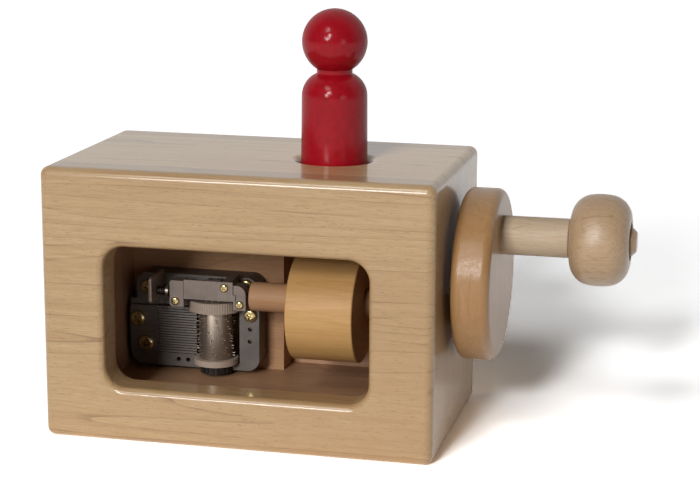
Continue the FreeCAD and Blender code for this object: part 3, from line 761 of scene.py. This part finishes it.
class AUTOMATON_OT_cylinder(bpy.types.Operator):
    """Finish the pinned cylinder with its ring, its bush and its wheel"""
    bl_idname = "automaton.cylinder"
    bl_label = "Cylinder and wheel"

    BARREL_RADIUS = 6.6 * MM
    BARREL_EDGE = 0.25 * MM
    # the key slot: its radial, sideways and upright size, its distance and bearing from the axis
    SLOT_SIZE = (3 * MM, 0.9 * MM, 4 * MM)
    SLOT_DISTANCE = 7.3 * MM
    SLOT_BEARING = math.radians(-108)
    # how much of each melody pin is inside the barrel, and how far its tip is eased
    PIN_ROOT = 0.4 * MM
    PIN_EASE = 0.08 * MM
    # the band of melody pins: its lowest level, its height and its rows, one for each tooth
    BAND_LOW = 20.2 * MM
    BAND_HEIGHT = 18.5 * MM
    ROWS = 18
    # the golden share of a turn, which keeps pins apart, and a step that breaks its regularity
    GOLDEN_TURN = 0.61803
    TURN_STEP = 0.013

    def execute(self, context):
        finish = context.scene.automaton_finish
        plated = ground_steel("satin_plated_cylinder", finish.cylinder_steel, ALONG_Z, 0.45)
        dress(plated, "pin_cylinder")
        self.pinned_cylinder(context.scene.automaton_sizes, plated)
        # the white mouldings' tone carries painted shade of the box's inside
        dress(moulded_plastic("white_acetal", finish.shaded_white_moulding, 0.42), "cylinder_ring")
        dress(moulded_plastic("ridged_white_acetal", finish.shaded_white_moulding, 0.42, 64), "worm_wheel")
        dress(moulded_plastic("ribbed_black_nylon", finish.black_moulding, 0.3, 24), "end_bush")
        return {"FINISHED"}

    def pinned_cylinder(self, sizes, material):
        """The music cylinder with its many fine steel pins and the key slot near its top."""
        low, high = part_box("pin_cylinder")
        centre = (low + high) / 2
        pin_tip = (high.x - low.x) / 2
        barrel = self.barrel(centre, high.z - low.z, high.z)
        model, pin_length = self.melody_pin(sizes.melody_pin, pin_tip)
        pins = []
        for index in range(sizes.melody_pins):
            row = index % self.ROWS
            turn = (index * self.GOLDEN_TURN + (index * index % 7) * self.TURN_STEP) % 1
            height = self.BAND_LOW + (row + 0.5) * self.BAND_HEIGHT / self.ROWS
            out = Matrix.Rotation(turn * math.tau, 4, "Z") @ Matrix.Rotation(math.radians(90), 4, "Y")
            pin = own_copy(model, "pin" + str(index))
            pin.matrix_world = (Matrix.Translation((centre.x, centre.y, height)) @ out
                                @ Matrix.Translation((0, 0, pin_tip - pin_length / 2)))
            pins.append(pin)
        remove(model)
        whole = join_pieces("pinned_cylinder", [barrel] + pins)
        settle(whole, material, "cylinder", "cylinder_metal", "pin_cylinder")

    def barrel(self, centre, height, top):
        """The plain barrel with its eased rims and its key slot."""
        pick()
        bpy.ops.mesh.primitive_cylinder_add(vertices=96, radius=self.BARREL_RADIUS, depth=height,
                                            location=centre)
        barrel = bpy.context.object
        modify(barrel, "BEVEL", width=self.BARREL_EDGE, segments=2, limit_method="ANGLE")
        pick()
        bpy.ops.mesh.primitive_cube_add(size=1, scale=self.SLOT_SIZE)
        key = bpy.context.object
        key.rotation_euler = (0, 0, self.SLOT_BEARING)
        key.location = (centre.x + self.SLOT_DISTANCE * math.cos(self.SLOT_BEARING),
                        centre.y + self.SLOT_DISTANCE * math.sin(self.SLOT_BEARING), top)
        cut_away(barrel, key)
        return barrel

    def melody_pin(self, radius, tip):
        """One upright pin with an eased tip, and its length, for a tip at a distance from the axis."""
        pin_length = tip - self.BARREL_RADIUS + self.PIN_ROOT
        pick()
        bpy.ops.mesh.primitive_cylinder_add(vertices=8, radius=radius, depth=pin_length)
        model = bpy.context.object
        edit_faces()
        pick_faces(lambda centre, normal: normal.z > FACING)
        bpy.ops.mesh.bevel(offset=self.PIN_EASE, segments=1)
        bpy.ops.object.mode_set(mode="OBJECT")
        return model, pin_length


class AUTOMATON_OT_screws(bpy.types.Operator):
    """Finish the brass screws and the worm"""
    bl_idname = "automaton.screws"
    bl_label = "Screws and worm"

    def execute(self, context):
        sizes = context.scene.automaton_sizes
        brass = machined_brass("machined_brass", context.scene.automaton_finish.brass)
        dress(brass, "comb_screws", "mounting_screws", "bracket_screws", "worm")
        # each set's head radius and height, then its shank's radius and reach
        comb = (sizes.comb_head, sizes.comb_head_height, 1.2 * MM, 4 * MM)
        mounting = (sizes.mounting_head, sizes.mounting_head_height, 1.2 * MM, 16 * MM)
        bracket = (sizes.bracket_head, sizes.bracket_head_height, 0.7 * MM, 14.5 * MM)
        drive_screws("comb_screw_pair", "comb_screws", comb, COMB_SCREWS, brass)
        drive_screws("mounting_screw_set", "mounting_screws", mounting, MOUNTING_SCREWS, brass)
        drive_screws("bracket_screw_set", "bracket_screws", bracket, BRACKET_SCREWS, brass)
        return {"FINISHED"}


# ---- stage ----

# Where each lamp stands as seen from the toy, its strength, its softness in degrees, and whether
# gloss shows it. The first three were placed by the shadow in the photo.
LAMPS = (
    # sharper light from the front
    ((-0.100, -0.905, 0.413), 0.95, 7, True),
    # high light from the front, a little to the left
    ((-0.225, -0.68, 0.69), 0.60, 16, True),
    # low light from the front, a little to the left, which reaches into the window
    ((-0.24, -0.94, 0.24), 1.15, 12, True),
    # low light from the front right, for the right wall and the crank disc
    ((0.69, -0.72, 0.035), 0.24, 20, True),
    # low light from behind, for the back
    ((-0.35, 0.935, 0.03), 0.90, 10, False),
)

CAMERA_PLACE = (0.1921, -0.6793, 0.2261)
# how far the camera is turned left, tipped down and rolled, in degrees
CAMERA_AIM = (13.23, 12.69, 0.38)
SENSOR_WIDTH = 36

# strength of the even light from all round, and of the low glow from behind
ROOM_LIGHT = 0.03
BACK_GLOW = 0.7
# brightness that gloss sees in the dim room behind the camera and in the white backdrop
ROOM_SHINE = 0.12
BACKDROP_SHINE = 0.9
# how much the floor's colour is lifted where it is looked at
FLOOR_LIFT = 3.3


class AUTOMATON_OT_stage(bpy.types.Operator):
    """Set the floor, the light and the camera"""
    bl_idname = "automaton.stage"
    bl_label = "Stage"

    def execute(self, context):
        scene = context.scene
        sizes = scene.automaton_sizes
        bpy.ops.mesh.primitive_plane_add(size=sizes.floor_width, location=(0, 0, 0))
        floor = context.object
        floor.name = "floor"
        floor.data.materials.append(pale_floor(scene.automaton_finish.floor))
        for towards, strength, softness, mirrored in LAMPS:
            self.lamp(towards, strength, softness, mirrored)
        self.surroundings(scene)
        bpy.ops.object.camera_add(location=CAMERA_PLACE)
        camera = context.object
        camera.rotation_euler = self.aim(*CAMERA_AIM)
        camera.data.sensor_width = SENSOR_WIDTH
        camera.data.lens = sizes.camera_lens
        camera.data.clip_end = 20
        scene.camera = camera
        scene.view_settings.view_transform = "Standard"
        return {"FINISHED"}

    def lamp(self, towards, strength, softness, mirrored):
        """A sun lamp shining from the given direction."""
        bpy.ops.object.light_add(type="SUN", location=Vector(towards) * 2)
        lamp = bpy.context.object
        lamp.rotation_euler = Vector(towards).to_track_quat("Z", "Y").to_euler()
        lamp.data.energy = strength
        lamp.data.angle = math.radians(softness)
        lamp.visible_glossy = mirrored

    def aim(self, yaw, pitch, roll):
        """The turn of a camera that looks along +Y, turned left, tipped down and rolled by degrees."""
        yaw, pitch, roll = (math.radians(angle) for angle in (yaw, pitch, roll))
        ahead = Vector((-math.sin(yaw) * math.cos(pitch), math.cos(yaw) * math.cos(pitch),
                        -math.sin(pitch)))
        level = Vector((math.cos(yaw), math.sin(yaw), 0))
        upright = level.cross(ahead)
        right = math.cos(roll) * level + math.sin(roll) * upright
        up = -math.sin(roll) * level + math.cos(roll) * upright
        return Matrix((right, up, -ahead)).transposed().to_euler()

    def surroundings(self, scene):
        """A studio with a white backdrop behind the toy and a dim room behind the camera.

        The camera sees white all round. Gloss and clear parts see the backdrop and the dim room. The
        light that falls on the toy from them is much weaker than either, so that its shadow stays.
        """
        world = bpy.data.worlds.new("studio")
        tree = emptied_tree(world)
        direction = add_node(tree, "ShaderNodeTexCoord").outputs["Generated"]
        parts = split(tree, direction)
        path = add_node(tree, "ShaderNodeLightPath").outputs
        low_glow = ramp(tree, parts["Z"], 0.05, 0.2, BACK_GLOW, 0.0)
        glow = times(tree, ramp(tree, parts["Y"], 0.3, 0.9), low_glow)
        light = calculate(tree, "ADD", glow, ROOM_LIGHT)
        shine = ramp(tree, parts["Y"], -0.3, 0.3, ROOM_SHINE, BACKDROP_SHINE)
        mirrored = calculate(tree, "MAXIMUM", path["Is Glossy Ray"], path["Is Transmission Ray"])
        unseen = add_node(tree, "ShaderNodeMix", {"Factor": mirrored, "A": light, "B": shine})
        strength = add_node(tree, "ShaderNodeMix",
                            {"Factor": path["Is Camera Ray"], "A": unseen.outputs["Result"], "B": 1.0})
        white = add_node(tree, "ShaderNodeBackground",
                         {"Color": (1, 1, 1, 1), "Strength": strength.outputs["Result"]})
        add_node(tree, "ShaderNodeOutputWorld", {"Surface": white.outputs["Background"]})
        scene.world = world


def pale_floor(tone):
    """A plain pale matt floor.

    To the camera, to gloss and through clear parts its colour is lifted until the lit floor is white,
    and the shadow on it is lifted as much and stays. What it throws back on the toy isn't lifted.
    """
    material = bpy.data.materials.new("pale_floor")
    tree = emptied_tree(material)
    path = add_node(tree, "ShaderNodeLightPath").outputs
    seen = path["Is Camera Ray"]
    for other in ("Is Glossy Ray", "Is Transmission Ray"):
        seen = calculate(tree, "MAXIMUM", seen, path[other])
    shown = blend_colours(tree, seen, tone, scaled(tone, FLOOR_LIFT))
    matt = add_node(tree, "ShaderNodeBsdfDiffuse", {"Color": shown})
    add_node(tree, "ShaderNodeOutputMaterial", {"Surface": matt.outputs["BSDF"]})
    return material


class AUTOMATON_PT_panel(bpy.types.Panel):
    bl_idname = "AUTOMATON_PT_panel"
    bl_label = "Crank automaton"
    bl_space_type = "VIEW_3D"
    bl_region_type = "UI"
    bl_category = "Automaton"

    def draw(self, context):
        for operator in STEPS:
            self.layout.operator(operator.bl_idname)
        for name, group in GROUPS:
            column = self.layout.column()
            for setting in group.__annotations__:
                column.prop(getattr(context.scene, name), setting)


STEPS = (
    AUTOMATON_OT_box,
    AUTOMATON_OT_turnings,
    AUTOMATON_OT_figure,
    AUTOMATON_OT_castings,
    AUTOMATON_OT_comb,
    AUTOMATON_OT_cylinder,
    AUTOMATON_OT_screws,
    AUTOMATON_OT_stage,
)

GROUPS = (
    ("automaton_wood", AUTOMATON_PG_wood),
    ("automaton_finish", AUTOMATON_PG_finish),
    ("automaton_sizes", AUTOMATON_PG_sizes),
)


def register():
    for name, group in GROUPS:
        bpy.utils.register_class(group)
        setattr(bpy.types.Scene, name, bpy.props.PointerProperty(type=group))
    for operator in STEPS:
        bpy.utils.register_class(operator)
    bpy.utils.register_class(AUTOMATON_PT_panel)


def unregister():
    bpy.utils.unregister_class(AUTOMATON_PT_panel)
    for operator in reversed(STEPS):
        bpy.utils.unregister_class(operator)
    for name, group in reversed(GROUPS):
        delattr(bpy.types.Scene, name)
        bpy.utils.unregister_class(group)


def main():
    register()
    for operator in STEPS:
        family, action = operator.bl_idname.split(".")
        getattr(getattr(bpy.ops, family), action)()


if __name__ == "__main__":
    main()
